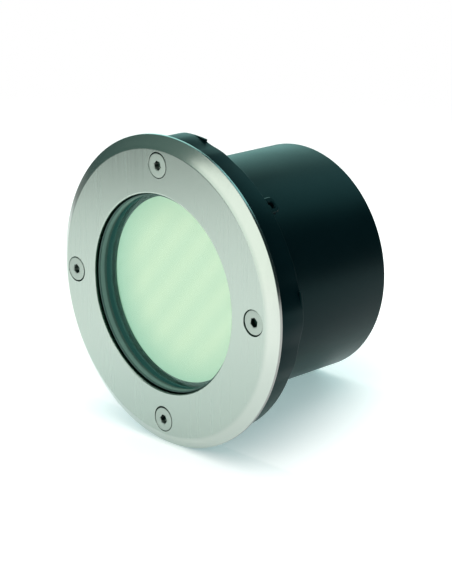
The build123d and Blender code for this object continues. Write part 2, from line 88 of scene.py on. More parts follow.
Colour = tuple[float, float, float]
Triple = tuple[float, float, float]
Span = tuple[float, float]
Paint = Union[Colour, bpy.types.NodeSocket]
Grid = np.ndarray
Term = Union["Field", float]
Values = Optional[dict[Any, Any]]


class Body(Enum):
    """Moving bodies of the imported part."""

    SLEEVE = "sleeve"
    LUMINAIRE = "luminaire"
    COVER = "cover"
    LAMP = "lamp"


class Grain(Enum):
    """Ways in which a metal surface was worked, as noise scales along X, Y and Z."""

    STRAIGHT = (1500.0, 120.0, 14.0)
    FINE = (2600.0, 2600.0, 2600.0)


# Outlines and grids


@dataclass(frozen=True)
class Corner:
    """Corner of an outline: radius and depth in millimetres, and the radius that rounds it."""

    radius: float
    depth: float
    fillet: float = 0.0


def unit(vector: np.ndarray) -> np.ndarray:
    """Vector of length one in the same direction."""
    return vector / np.linalg.norm(vector)


def outline(corners: Sequence[Corner], closed: bool = False) -> np.ndarray:
    """Profile through corners, with the rounded ones replaced by arcs.

    A corner rounded by r has its arc's centre r / sin(half the corner's angle) along the bisector. The arc's
    points swing evenly from one tangent point to the other, as weights sin((1 - t) a) and sin(t a).

    Args:
        corners: Corners in order.
        closed: Whether the last corner joins the first.

    Returns:
        Points of radius and depth in metres, one row each.
    """
    places = np.array([(corner.radius, corner.depth) for corner in corners]) * MM
    share = np.linspace(0, 1, ARC_STEPS + 1)[:, None]
    stretches = []
    for index, corner in enumerate(corners):
        at_end = not closed and index in (0, len(corners) - 1)
        if corner.fillet == 0 or at_end:
            stretches.append(places[index:index + 1])
            continue
        back = unit(places[index - 1] - places[index])
        ahead = unit(places[(index + 1) % len(corners)] - places[index])
        half = math.acos(float(np.clip(back @ ahead, -1, 1))) / 2
        size = corner.fillet * MM
        centre = places[index] + unit(back + ahead) * size / math.sin(half)
        first = places[index] + back * size / math.tan(half) - centre
        last = places[index] + ahead * size / math.tan(half) - centre
        sweep = math.pi - 2 * half
        arc = np.sin((1 - share) * sweep) * first + np.sin(share * sweep) * last
        stretches.append(centre + arc / math.sin(sweep))
    return np.concatenate(stretches)


def around(columns: int = COLUMNS) -> np.ndarray:
    """Evenly spaced angles of a full turn, without the last one that repeats the first."""
    return np.arange(columns) * TURN / columns


def smooth(share: np.ndarray) -> np.ndarray:
    """Smooth step of shares between 0 and 1: 3 s^2 - 2 s^3."""
    return share * share * (3 - 2 * share)


def turned(profile: np.ndarray, angles: np.ndarray, lift: Union[float, np.ndarray] = 0.0) -> Grid:
    """Profile carried round the light's axis: x = r sin(a), y = depth, z = r cos(a).

    Args:
        profile: Points of radius and depth in metres.
        angles: Clock angles in radians, one a column.
        lift: Metres added to the radius, as one number or a row and column array.

    Returns:
        Grid of points, profile points by angles.
    """
    radius = profile[:, :1] + lift
    parts = np.broadcast_arrays(radius * np.sin(angles), profile[:, 1:], radius * np.cos(angles))
    return np.stack(parts, axis=-1)


def hexagon(angles: np.ndarray, key: float) -> np.ndarray:
    """Radius of a hexagon: half its key over the cosine of the angle from the nearest flat's middle."""
    sixth = TURN / 6
    return key / 2 / np.cos((angles + sixth / 2) % sixth - sixth / 2)


def at_screw(grid: Grid, clock: float) -> Grid:
    """Grid shifted from the light's axis to a screw's axis, at a clock angle in degrees."""
    angle = math.radians(clock)
    return grid + np.array([math.sin(angle), 0.0, math.cos(angle)]) * SCREW_CIRCLE * MM


class Shell:
    """Gathers grids of points and makes one mesh of them."""

    def __init__(self) -> None:
        """Start with no points."""
        self.points: list[np.ndarray] = []
        self.faces: list[np.ndarray] = []
        self.count = 0

    def add(self, grid: Grid, ring: bool = True, tube: bool = False) -> None:
        """Add the quads of a grid.

        Args:
            grid: Rows by columns of points.
            ring: Whether the last column joins the first.
            tube: Whether the last row joins the first.
        """
        rows, columns = grid.shape[:2]
        index = np.arange(rows * columns).reshape(rows, columns) + self.count
        if ring:
            index = np.concatenate([index, index[:, :1]], axis=1)
        if tube:
            index = np.concatenate([index, index[:1]], axis=0)
        quads = np.stack([index[:-1, :-1], index[1:, :-1], index[1:, 1:], index[:-1, 1:]], axis=-1)
        self.points.append(grid.reshape(-1, 3))
        self.faces.append(quads.reshape(-1, 4))
        self.count += rows * columns

    def build(self, name: str) -> bpy.types.Object:
        """Weld the grids, turn the faces outwards and shade them smooth between sharp edges.

        Args:
            name: Name of the mesh and of its object.

        Returns:
            The new piece, at the origin.
        """
        mesh = bpy.data.meshes.new(name)
        mesh.from_pydata(np.concatenate(self.points).tolist(), [], np.concatenate(self.faces).tolist())
        work = bmesh.new()
        work.from_mesh(mesh)
        bmesh.ops.remove_doubles(work, verts=work.verts, dist=WELD)
        bmesh.ops.dissolve_degenerate(work, edges=work.edges, dist=WELD / 10)
        bmesh.ops.recalc_face_normals(work, faces=work.faces)
        work.to_mesh(mesh)
        work.free()
        mesh.shade_smooth()
        mesh.set_sharp_from_angle(angle=SHARP)
        piece = bpy.data.objects.new(name, mesh)
        bpy.context.scene.collection.objects.link(piece)
        return piece


def of_grid(name: str, grid: Grid, tube: bool = True) -> bpy.types.Object:
    """Make a piece of one grid.

    Args:
        name: Name of the piece.
        grid: Rows by columns of points.
        tube: Whether the last row joins the first.

    Returns:
        The new piece.
    """
    shell = Shell()
    shell.add(grid, tube=tube)
    return shell.build(name)


def section(inner: float, outer: float, front: float, back: float, fillets: Sequence[float]) -> np.ndarray:
    """Closed four-cornered profile of a ring.

    Args:
        inner: Inner radius in millimetres.
        outer: Outer radius in millimetres.
        front: Depth of the front face in millimetres.
        back: Depth of the back face in millimetres.
        fillets: Rounding of the corners: inner front, outer front, outer back and inner back.

    Returns:
        Points of radius and depth in metres.
    """
    ends = ((inner, front), (outer, front), (outer, back), (inner, back))
    return outline([Corner(*end, fillet) for end, fillet in zip(ends, fillets)], closed=True)


@dataclass(frozen=True)
class HoledBand:
    """Flat ring across the axis with a round hole at each screw.

    Each hole sits in a sector of the ring. The sector's edge is walked once round, and every point of it is
    joined to the point of the hole's circle in the same direction from the hole's middle.
    """

    inner: float
    outer: float
    depth: float
    half_angle: int = 20
    steps: int = 12

    def edge(self) -> np.ndarray:
        """Walk round one sector: the outer arc, inwards, the inner arc and outwards.

        Returns:
            Points along the screw's own radius and across it, in metres.
        """
        sweep = np.radians(np.arange(-self.half_angle, self.half_angle + 1.0))
        inward = np.linspace(self.outer, self.inner, self.steps + 2)[1:-1]
        radius = np.concatenate([
            np.full(sweep.size, self.outer), inward, np.full(sweep.size, self.inner), inward[::-1]
        ])
        angle = np.concatenate([
            sweep, np.full(inward.size, sweep[-1]), sweep[::-1], np.full(inward.size, sweep[0])
        ])
        return np.stack([radius * np.cos(angle), radius * np.sin(angle)], axis=-1) * MM

    def fill(self, shell: Shell, hole: np.ndarray, back: Optional["HoledBand"] = None) -> None:
        """Add the ring and its holes to a shell.

        Args:
            shell: Shell that takes the grids.
            hole: Radius and depth of each hole's wall in metres, from the front edge inwards.
            back: Ring on the far side that the holes come out of, if they go through.
        """
        middle = np.array([SCREW_CIRCLE * MM, 0.0])
        front_edge = self.edge()
        offset = front_edge - middle
        way = offset / np.linalg.norm(offset, axis=1, keepdims=True)
        flats = [front_edge[None], hole[:, None, :1] * way + middle]
        depths = [[self.depth * MM], hole[:, 1]]
        if back:
            flats.append(back.edge()[None])
            depths.append([back.depth * MM])
        flat = np.concatenate(flats)
        depth = np.broadcast_to(np.concatenate(depths)[:, None], flat.shape[:2])
        for clock in SCREW_CLOCKS:
            turn = math.radians(clock)
            across = flat[..., 0] * math.sin(turn) + flat[..., 1] * math.cos(turn)
            upward = flat[..., 0] * math.cos(turn) - flat[..., 1] * math.sin(turn)
            shell.add(np.stack([across, depth, upward], axis=-1))
        for band in filter(None, (self, back)):
            radii = np.linspace(band.outer, band.inner, band.steps + 2) * MM
            profile = np.stack([radii, np.full(radii.size, band.depth * MM)], axis=-1)
            for clock in SCREW_CLOCKS:
                span = np.arange(clock + band.half_angle, clock + SCREW_STEP + 1 - band.half_angle)
                shell.add(turned(profile, np.radians(span)), ring=False)


# Shader maths


class Field:
    """Number that varies over a surface. Arithmetic on it adds Math nodes."""

    def __init__(self, graph: "Graph", socket: bpy.types.NodeSocket) -> None:
        """Wrap an output socket of a graph."""
        self.graph = graph
        self.socket = socket

    def _math(self, operation: str, *terms: Term) -> "Field":
        """Field of a Math node over the terms."""
        return self.graph.field("ShaderNodeMath", {"operation": operation}, dict(enumerate(terms)))

    def __add__(self, other: Term) -> "Field":
        """Sum, with the number on either side."""
        return self._math("ADD", self, other)

    def __sub__(self, other: Term) -> "Field":
        """Difference."""
        return self._math("SUBTRACT", self, other)

    def __rsub__(self, other: Term) -> "Field":
        """Difference with the number first."""
        return self._math("SUBTRACT", other, self)

    def __mul__(self, other: Term) -> "Field":
        """Product, with the number on either side."""
        return self._math("MULTIPLY", self, other)

    __radd__ = __add__
    __rmul__ = __mul__

    def root(self) -> "Field":
        """Square root."""
        return self._math("SQRT", self)

    def size(self) -> "Field":
        """Value without its sign."""
        return self._math("ABSOLUTE", self)

    def greater(self, other: Term) -> "Field":
        """Greater of two values."""
        return self._math("MAXIMUM", self, other)

    def lesser(self, other: Term) -> "Field":
        """Lesser of two values."""
        return self._math("MINIMUM", self, other)

    def cosine(self) -> "Field":
        """Cosine of an angle in radians."""
        return self._math("COSINE", self)

    def ramp(self, span: Span, unit: float = 1.0) -> "Field":
        """Smooth step over a span, given in a unit of so many metres: 0 before it, 1 past it."""
        inputs = {0: self, 1: span[0] * unit, 2: span[1] * unit}
        return self.graph.field("ShaderNodeMapRange", {"interpolation_type": "SMOOTHSTEP"}, inputs)


def distance(first: Field, second: Field, centre: Span = (0.0, 0.0)) -> Field:
    """Distance from a centre by two coordinates in metres."""
    across, along = first - centre[0], second - centre[1]
    return (across * across + along * along).root()


class Graph:
    """Node tree of one finish or of the surroundings."""

    def __init__(self, owner: Union[bpy.types.Material, bpy.types.World]) -> None:
        """Empty the owner's node tree.

        Args:
            owner: Material or world that the tree belongs to.
        """
        owner.use_nodes = True
        self.tree = owner.node_tree
        self.tree.nodes.clear()

    def node(self, kind: str, settings: Values = None, inputs: Values = None) -> bpy.types.Node:
        """Make one node.

        Args:
            kind: Blender's name for the node's type.
            settings: Properties, which are set first.
            inputs: Value, field or output socket for each input, by name or number.

        Returns:
            The new node.
        """
        made = self.tree.nodes.new(kind)
        for name, value in (settings or {}).items():
            setattr(made, name, value)
        for key, value in (inputs or {}).items():
            source = value.socket if isinstance(value, Field) else value
            if isinstance(source, bpy.types.NodeSocket):
                self.tree.links.new(source, made.inputs[key])
            else:
                made.inputs[key].default_value = source
        return made

    def field(self, kind: str, settings: Values = None, inputs: Values = None) -> Field:
        """Field from the first output of a new node."""
        return Field(self, self.node(kind, settings, inputs).outputs[0])

    def place(self, space: str = "Object") -> tuple[Field, ...]:
        """Place of the shaded point.

        Args:
            space: Output of the Texture Coordinate node, by default the object's own metres.

        Returns:
            X, Y and Z.
        """
        coordinates = self.node("ShaderNodeTexCoord").outputs[space]
        split = self.node("ShaderNodeSeparateXYZ", inputs={0: coordinates})
        return tuple(Field(self, output) for output in split.outputs)

    def noise(self, stretch: Triple, detail: float = 2.0) -> Field:
        """Noise from 0 to 1.

        Args:
            stretch: Features a metre along X, Y and Z.
            detail: Octaves of finer noise.

        Returns:
            The noise as a field.
        """
        coordinates = self.node("ShaderNodeTexCoord").outputs["Object"]
        mapped = self.node("ShaderNodeMapping", inputs={"Vector": coordinates, "Scale": stretch}).outputs[0]
        return self.field("ShaderNodeTexNoise", inputs={"Vector": mapped, "Scale": 1.0, "Detail": detail})

    def blend(self, factor: Field, low: Paint, high: Paint) -> bpy.types.NodeSocket:
        """Colour between two.

        Args:
            factor: 0 for the first colour, 1 for the second.
            low: First colour, or a socket that gives it.
            high: Second colour, or a socket that gives it.

        Returns:
            Output socket of the blend.
        """
        ends = [paint if isinstance(paint, bpy.types.NodeSocket) else opaque(paint) for paint in (low, high)]
        inputs = {0: factor, 6: ends[0], 7: ends[1]}
        return self.node("ShaderNodeMix", {"data_type": "RGBA"}, inputs).outputs[2]

    def shades(self, factor: Field, colour: Colour, spread: float) -> bpy.types.NodeSocket:
        """Colour that runs from darker to lighter by a share of itself."""
        return self.blend(factor, scaled(colour, 1 - spread), scaled(colour, 1 + spread))

    def bump(self, height: Field, strength: float) -> bpy.types.NodeSocket:
        """Normal tilted by a height field."""
        inputs = {"Height": height, "Strength": strength, "Distance": BUMP_REACH}
        return self.node("ShaderNodeBump", inputs=inputs).outputs[0]

    def mixed(
        self, factor: Union[Field, bpy.types.NodeSocket], low: bpy.types.Node, high: bpy.types.Node
    ) -> bpy.types.Node:
        """Mix of two shaders."""
        return self.node("ShaderNodeMixShader", inputs={0: factor, 1: low.outputs[0], 2: high.outputs[0]})

    def surface(self, **inputs: Any) -> None:
        """End the tree in a Principled shader.

        Args:
            **inputs: Value, field or socket for each input, with underscores for spaces in its name.
        """
        named = {key.replace("_", " "): value for key, value in inputs.items()}
        shader = self.node("ShaderNodeBsdfPrincipled", inputs=named)
        self.node("ShaderNodeOutputMaterial", inputs={"Surface": shader.outputs[0]})


def scaled(colour: Colour, share: float) -> Colour:
    """Colour made darker or lighter by a share."""
    red, green, blue = colour
    return red * share, green * share, blue * share


def opaque(colour: Colour) -> tuple[float, float, float, float]:
    """Colour with full alpha, as a socket takes it."""
    return (*colour, 1.0)


# Finishes


@dataclass(frozen=True)
class Finish:
    """Base of all finishes: the record's slot, and a title that names the material."""

    slot: str

    @property
    def title(self) -> str:
        """Material's name."""
        return "finish_" + self.slot

    def material(self) -> bpy.types.Material:
        """Give this finish its material, made on first use.

        Returns:
            The material.
        """
        known = bpy.data.materials.get(self.title)
        if known:
            return known
        made = bpy.data.materials.new(self.title)
        self.paint(Graph(made))
        return made

    def paint(self, graph: Graph) -> None:
        """Fill the graph with this finish's nodes."""
        raise NotImplementedError


@dataclass(frozen=True)
class WorkedMetal(Finish):
    """Bare metal with the marks of its making in colour, gloss and height. Spans are in millimetres."""

    # Where set, painted shade darkens the recesses, and a bevel band is lighter as a painted highlight
    colour: Colour
    roughness: float = 0.3
    grain: Grain = Grain.FINE
    contrast: float = 0.16
    relief: float = 0.12
    # Whether painted shade darkens the screw sockets, the gaps round the heads and the window's wall
    paints_shade: bool = False
    bevel_band_from: float = 0.0
    bevel_band_width: float = 1.8
    polish_gloss: float = 0.04
    cut_edge: Span = (-11.9, -11.6)
    sunk: Span = (-14.38, -14.1)
    socket_edge: Span = (1.7, 1.9)
    gap_inside: Span = (4.2, 4.3)
    gap_outside: Span = (4.7, 4.8)
    window_edge: Span = (35.25, 35.45)
    clouds: Triple = (45.0, 45.0, 30.0)
    streak_share: float = 0.7
    gloss_spread: float = 0.16

    def painted_shade(self, graph: Graph) -> Field:
        """Painted shade in the screw sockets, round the screw heads and on the window's wall, from 0 to 1.

        The nearest screw's axis lies on the X or the Z axis, so its distance comes from the greater and the
        lesser of |x| and |z|.

        Args:
            graph: Graph that takes the nodes.

        Returns:
            The painted shade as a field.
        """
        x, y, z = graph.place()
        along = x.size().greater(z.size()) - SCREW_CIRCLE * MM
        from_screw = distance(along, x.size().lesser(z.size()))
        socket = 1 - from_screw.ramp(self.socket_edge, MM)
        gap = from_screw.ramp(self.gap_inside, MM) * (1 - from_screw.ramp(self.gap_outside, MM))
        wall = 1 - distance(x, z).ramp(self.window_edge, MM)
        return y.ramp(self.sunk, MM) * socket.greater(gap).greater(wall)

    def paint(self, graph: Graph) -> None:
        """Streaks of the grain over broader, fainter clouds.

        Args:
            graph: Graph that takes the nodes.
        """
        streak = graph.noise(self.grain.value, 4.0)
        cloud = graph.noise(self.clouds)
        tone = self.streak_share * streak + (1 - self.streak_share) * cloud
        clean = graph.shades(tone, self.colour, self.contrast)
        rough = self.roughness + self.gloss_spread * (tone - 0.5)
        # Bevel band: glossier as polish, and lighter in colour as a painted highlight; then a darker cut edge
        if self.bevel_band_from:
            x, y, z = graph.place()
            bright = distance(x, z).ramp((self.bevel_band_from, self.bevel_band_from + self.bevel_band_width), MM)
            clean = graph.blend(bright, clean, POLISH_AND_HIGHLIGHT)
            clean = graph.blend(y.ramp(self.cut_edge, MM), clean, SAWN)
            rough = rough - self.polish_gloss * bright
        # Where set, painted shade over the screw sockets, the gaps round the heads and the window's wall
        graph.surface(
            Base_Color=graph.blend(self.painted_shade(graph), clean, RECESS_SHADE) if self.paints_shade else clean,
            Metallic=1.0,
            Roughness=rough,
            Normal=graph.bump(streak, self.relief),
        )


@dataclass(frozen=True)
class Moulded(Finish):
    """Moulded plastic or rubber: an even colour, uneven gloss and a faint skin texture."""

    colour: Colour
    roughness: float = 0.35
    unevenness: float = 0.16
    relief: float = 0.06
    skin: float = 1400.0
    gloss: float = 0.5
    tint: Colour = WHITE
    # Where set, colour of a painted reflection on the underside
    under: Optional[Colour] = None
    under_span: Span = (-40.0, -8.0)
    clouds: Triple = (70.0, 55.0, 70.0)
    colour_spread: float = 0.2
    skin_gloss: float = 0.06

    def paint(self, graph: Graph) -> None:
        """Clouds in gloss and colour, fine grain in the height and, where set, a painted reflection below.

        Args:
            graph: Graph that takes the nodes.
        """
        cloud = graph.noise(self.clouds, 3.0)
        skin = graph.noise((self.skin, self.skin, self.skin))
        body = graph.shades(cloud, self.colour, self.colour_spread)
        # Where set, the underside takes another colour: a painted reflection of the floor
        if self.under:
            _, _, z = graph.place()
            body = graph.blend(z.ramp(self.under_span, MM), self.under, body)
        graph.surface(
            Base_Color=body,
            Roughness=self.roughness + self.unevenness * (cloud - 0.5) + self.skin_gloss * (skin - 0.5),
            Specular_IOR_Level=self.gloss,
            Specular_Tint=opaque(self.tint),
            Normal=graph.bump(skin, self.relief),
        )


@dataclass(frozen=True)
class SealRubber(Finish):
    """Seal's rubber: a pale painted highlight round the bead's wall, and a painted glow behind the glass."""

    dark: Colour
    pale: Colour
    painted_glow: Colour
    highlight_depths: Span
    behind_depth: float
    soft: float = 0.4
    roughness: float = 0.42
    gloss: float = 0.4

    @property
    def title(self) -> str:
        """Material's name, apart from the plain rubber of the same slot."""
        return "finish_graded_" + self.slot

    def paint(self, graph: Graph) -> None:
        """Painted highlight below the bead's crest and painted glow on the lip behind the glass, by depth.

        Args:
            graph: Graph that takes the nodes.
        """
        _, y, _ = graph.place()
        start, end = self.highlight_depths
        below_crest = y.ramp((start - self.soft, start), MM)
        past_band = y.ramp((end, end + 2 * self.soft), MM)
        past_glass = y.ramp((self.behind_depth - self.soft, self.behind_depth), MM)
        # Painted highlight on the bead's wall between the depths, painted glow on the lip behind the glass
        graph.surface(
            Base_Color=graph.blend(below_crest * (1 - past_band), self.dark, self.pale),
            Roughness=self.roughness,
            Specular_IOR_Level=self.gloss,
            Emission_Color=graph.blend(past_glass, BLACK, self.painted_glow),
            Emission_Strength=1.0,
        )


@dataclass(frozen=True)
class ClearGlass(Finish):
    """Polished float glass with a faint green body and a coating that weakens its reflection."""

    colour: Colour
    sheen: Colour

    def paint(self, graph: Graph) -> None:
        """Clear refraction.

        Args:
            graph: Graph that takes the nodes.
        """
        graph.surface(
            Base_Color=opaque(self.colour),
            Roughness=0.0,
            IOR=1.5,
            Specular_Tint=opaque(self.sheen),
            Transmission_Weight=1.0,
        )


@dataclass(frozen=True)
class FrostedCap(Finish):
    """Lit diffuser: brightest in the middle, with the folded tube's legs showing through as soft bars.

    Lengths are in millimetres, and spans are shares of the reach.
    """

    middle: Colour
    rim: Colour
    shell: Colour
    leg_angle: float
    leg_pitch: float
    reach: float
    gap_shade: float = 0.17
    hot_spot: Span = (3.0, 2.0)
    legs_span: Span = (0.62, 0.95)
    glow_span: Span = (0.55, 1.15)
    clouds: Triple = (120.0, 120.0, 120.0)
    mottling: float = 0.04
    roughness: float = 0.45
    unevenness: float = 0.1

    def paint(self, graph: Graph) -> None:
        """Glow from the distance to a hot spot, dimmed between the legs by a cosine across them.

        Args:
            graph: Graph that takes the nodes.
        """
        x, _, z = graph.place()
        turn = math.radians(self.leg_angle)
        across = z * math.cos(turn) - x * math.sin(turn)
        gap = 0.5 + 0.5 * (across * (TURN / (self.leg_pitch * MM))).cosine()
        reach = self.reach * MM
        inside = 1 - distance(x, z).ramp(self.legs_span, reach)
        mottle = graph.noise(self.clouds)
        spot = (self.hot_spot[0] * MM, self.hot_spot[1] * MM)
        glow = 1 - distance(x, z, spot).ramp(self.glow_span, reach)
        glow = glow * (1 - self.gap_shade * gap * inside) + self.mottling * (mottle - 0.5)
        graph.surface(
            Base_Color=opaque(self.shell),
            Roughness=self.roughness + self.unevenness * mottle,
            Emission_Color=graph.blend(glow, self.rim, self.middle),
            Emission_Strength=1.0,
        )


# Both steels take painted shade in sockets, gaps and window wall; the ring's bevel band is a painted
# highlight
STEEL_RING = WorkedMetal("ring_steel", (0.39, 0.462, 0.418), 0.26, Grain.STRAIGHT, 0.04, 0.03, True, 50.3)
STEEL_SCREW = WorkedMetal("screw_steel", (0.42, 0.49, 0.445), 0.55, Grain.FINE, 0.14, 0.2, True)
GLASS = ClearGlass("clear_glass", (0.93, 0.99, 0.96), (0.25, 0.5, 0.45))
# Pale colour is a painted highlight on the bead's wall, last colour a painted glow behind the glass
GLASS_SEAL = SealRubber(
    "black_rubber", (0.035, 0.085, 0.072), (0.13, 0.235, 0.205), (0.014, 0.058, 0.05), (-12.4, -11.2), -5.8
)
RUBBER = Moulded("black_rubber", (0.03, 0.05, 0.045), 0.42, 0.12, 0.1, 2200.0, 0.4)
SHADE = Moulded("shade_black", (0.06, 0.14, 0.12), 0.55, 0.1, 0.1, 2600.0, 0.4)
# The sleeve's lighter teal underside is a painted reflection of the floor
SLEEVE = Moulded(
    "sleeve_black", (0.0006, 0.0045, 0.0058), 0.34, 0.08, 0.04, 1400.0, 0.09,
    tint=(0.2, 1.0, 1.0), under=(0.0006, 0.022, 0.018),
)
HOUSING = Moulded("housing_black", (0.003, 0.008, 0.009), 0.36, 0.14, 0.06, 1400.0, 0.25, (0.6, 1.0, 1.0))
GLAND = Moulded("gland_black", (0.008, 0.012, 0.013), 0.4, 0.14, 0.08)
DIFFUSER = FrostedCap(
    "frosted_mint", (0.535, 0.695, 0.48), (0.25, 0.50, 0.355), (0.10, 0.13, 0.11), 47.5, 9.0, 36.0
)
TUBE = Moulded("tube_glass", (0.82, 0.90, 0.84), 0.22, 0.06, 0.02)
LAMP_WHITE = Moulded("lamp_white", (0.72, 0.75, 0.72), 0.4)
HOLDER_WHITE = Moulded("holder_white", (0.66, 0.68, 0.64), 0.45)
BLOCK_WHITE = Moulded("block_white", (0.60, 0.62, 0.58), 0.4)
BRASS = WorkedMetal("brass", (0.62, 0.46, 0.20), 0.3, Grain.FINE, 0.12, 0.15)
BOARD = Moulded("board_green", (0.02, 0.13, 0.05), 0.35, 0.2, 0.1)
COPPER = WorkedMetal("choke_copper", (0.55, 0.27, 0.14), 0.35, Grain.STRAIGHT, 0.3, 0.4)
CAN = WorkedMetal("capacitor_grey", (0.42, 0.43, 0.44), 0.35, Grain.FINE)
WIRE_BROWN = Moulded("wire_brown", (0.11, 0.045, 0.02), 0.4)
WIRE_BLUE = Moulded("wire_blue", (0.02, 0.08, 0.30), 0.4)


def hand_over(piece: bpy.types.Object, body: Body, finish: Finish, *nodes: str) -> None:
    """Dress a new piece, put it on its body and let it stand for its solids.

    Args:
        piece: Finished piece, at the origin.
        body: Body that it rides on.
        finish: Finish of the whole piece.
        nodes: Names of the solids that it replaces.
    """
    piece.data.materials.append(finish.material())
    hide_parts(*nodes)
    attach(piece, body.value)
    LOG.info("%s on %s, %d faces", piece.name, body.value, len(piece.data.polygons))


def keep_solid(node: str, finish: Finish) -> None:
    """Dress a solid that stays as it is.

    Args:
        node: Name of the solid.
        finish: Finish of the whole solid.
    """
    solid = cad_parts[node]
    if not solid.material_slots:
        solid.data.materials.append(None)
    for place in solid.material_slots:
        place.material = finish.material()
    LOG.info("%s kept", node)


# Sub-assemblies


@dataclass
class Cover:
    """Steel ring with its screws, glass, seal and shade. Millimetres."""

    ring: float = 55.0
    bevel: float = 50.6
    window: float = 35.2
    window_round: float = 0.4
    face: float = -14.6
    rim: float = -11.8
    back: float = -10.6
    sink: float = 4.55
    hole: float = 2.75
    sink_wall: float = 0.5
    head: float = 4.2
    head_top: float = -14.5
    head_rim: float = 0.4
    shank: float = 2.5
    screw_end: float = -4.5
    thread_pitch: float = 0.8
    thread_depth: float = 0.4
    key: float = 3.0
    key_depth: float = 2.0
    glass: float = 39.4
    glass_front: float = -9.7
    glass_back: float = -5.7
    seal: float = 40.6
    seal_back: float = -4.8
    bead: float = 34.3
    bead_outer: float = 34.9
    bead_top: float = -13.2
    shade: float = 32.7
    shade_back: float = -3.8
    window_margin: float = 0.6
    bevel_margin: float = 0.3
    rear_margin: float = 1.0
    sink_edge: float = 0.08
    tip_bevel: float = 0.6
    tip_length: float = 0.5
    neck: float = 0.6
    thread_rows: int = 66
    key_clear: float = 0.78
    key_turn: float = 12.0
    key_turn_share: float = 0.3
    glass_columns: int = 180

    def build(self) -> None:
        """Make and dress every piece of the cover."""
        hand_over(self.ring_piece(), Body.COVER, STEEL_RING, "front_ring")
        hand_over(self.screw_pieces(), Body.COVER, STEEL_SCREW, "ring_screws")
        hand_over(self.glass_piece(), Body.COVER, GLASS, "glass")
        hand_over(self.seal_piece(), Body.COVER, GLASS_SEAL, "glass_seal")
        hand_over(self.shade_piece(), Body.COVER, SHADE, "shade_ring")

    def ring_piece(self) -> bpy.types.Object:
        """Flat ring with a wide bevel outside, a rounded window edge and four countersunk holes.

        Returns:
            The ring.
        """
        shell = Shell()
        front = HoledBand(self.window + self.window_margin, self.bevel - self.bevel_margin, self.face)
        rear = HoledBand(self.window + self.window_margin, self.ring - self.rear_margin, self.back)
        sink_end = self.face + self.sink_wall
        throat = sink_end + self.sink - self.hole
        hole = outline([
            Corner(self.sink + self.sink_edge, self.face),
            Corner(self.sink, self.face + self.sink_edge),
            Corner(self.sink, sink_end),
            Corner(self.hole, throat),
            Corner(self.hole, self.back),
        ])
        front.fill(shell, hole, rear)
        outside = outline([
            Corner(front.outer, self.face),
            Corner(self.bevel, self.face, 1.0),
            Corner(self.ring, self.rim, 0.25),
            Corner(self.ring, self.back, 0.2),
            Corner(rear.outer, self.back),
        ])
        inside = outline([
            Corner(rear.inner, self.back),
            Corner(self.window, self.back, 0.2),
            Corner(self.window, self.face, self.window_round),
            Corner(front.inner, self.face),
        ])
        shell.add(turned(outside, around()))
        shell.add(turned(inside, around()))
        return shell.build("steel_ring")

    def screw_pieces(self) -> bpy.types.Object:
        """Four countersunk screws, each with a hexagon socket, a thread and a head a little off its axis.

        The thread's radius is the shank's less half the thread's depth times one plus the cosine of the turn
        minus the depth over the pitch, so its crest climbs one pitch a turn. The head's way off its axis
        grows evenly along its cone, from nothing at the shank.

        Returns:
            The screws, as one piece.
        """
        shell = Shell()
        angles = around(SMALL_COLUMNS)
        cone_back = self.head_top + self.head_rim + self.head - self.shank
        depths = np.linspace(self.screw_end - self.tip_length, cone_back + self.neck, self.thread_rows) * MM
        phase = TURN * depths[:, None] / (self.thread_pitch * MM) - angles
        thread = self.shank * MM - self.thread_depth * MM * (0.5 + 0.5 * np.cos(phase))
        tip = outline([Corner(0, self.screw_end), Corner(self.shank - self.tip_bevel, self.screw_end)])
        head = outline([
            Corner(self.shank, cone_back),
            Corner(self.head, self.head_top + self.head_rim, 0.1),
            Corner(self.head, self.head_top, 0.18),
            Corner(self.key * self.key_clear, self.head_top),
        ])
        plain = np.ones_like(angles)
        six = hexagon(angles, self.key) * MM
        floor = self.head_top + self.key_depth
        # Shares of the hexagon's size, with the depth of each
        socket = np.array([
            (1.12, self.head_top),
            (1.0, self.head_top + 0.22),
            (1.0, floor),
            (0.86, floor + 0.12),
            (0.0, floor + 0.5),
        ])
        radius = np.concatenate([tip[:, :1] * plain, thread, head[:, :1] * plain, socket[:, :1] * six])
        depth = np.concatenate([tip[:, 1], depths, head[:, 1], socket[:, 1] * MM])
        cone_rise = (cone_back - self.head_top - self.head_rim) * MM
        lean = np.concatenate([
            np.zeros(len(tip) + len(depths)),
            np.clip((cone_back * MM - head[:, 1]) / cone_rise, 0, 1),
            np.ones(len(socket)),
        ])[:, None, None]
        for clock, (across, upward) in zip(SCREW_CLOCKS, SCREW_SLACK):
            turn = angles + math.radians(self.key_turn_share * clock + self.key_turn)
            parts = (radius * np.sin(turn), depth[:, None], radius * np.cos(turn))
            grid = np.stack(np.broadcast_arrays(*parts), axis=-1)
            slack = np.array([across, 0.0, upward]) * MM
            shell.add(at_screw(grid, clock) + lean * slack)
        return shell.build("socket_screws")

    def glass_piece(self) -> bpy.types.Object:
        """Flat glass with softened edges.

        Returns:
            The glass.
        """
        profile = outline([
            Corner(0, self.glass_front),
            Corner(self.glass, self.glass_front, 0.5),
            Corner(self.glass, self.glass_back, 0.5),
            Corner(0, self.glass_back),
        ])
        return of_grid("window_glass", turned(profile, around(self.glass_columns)), tube=False)

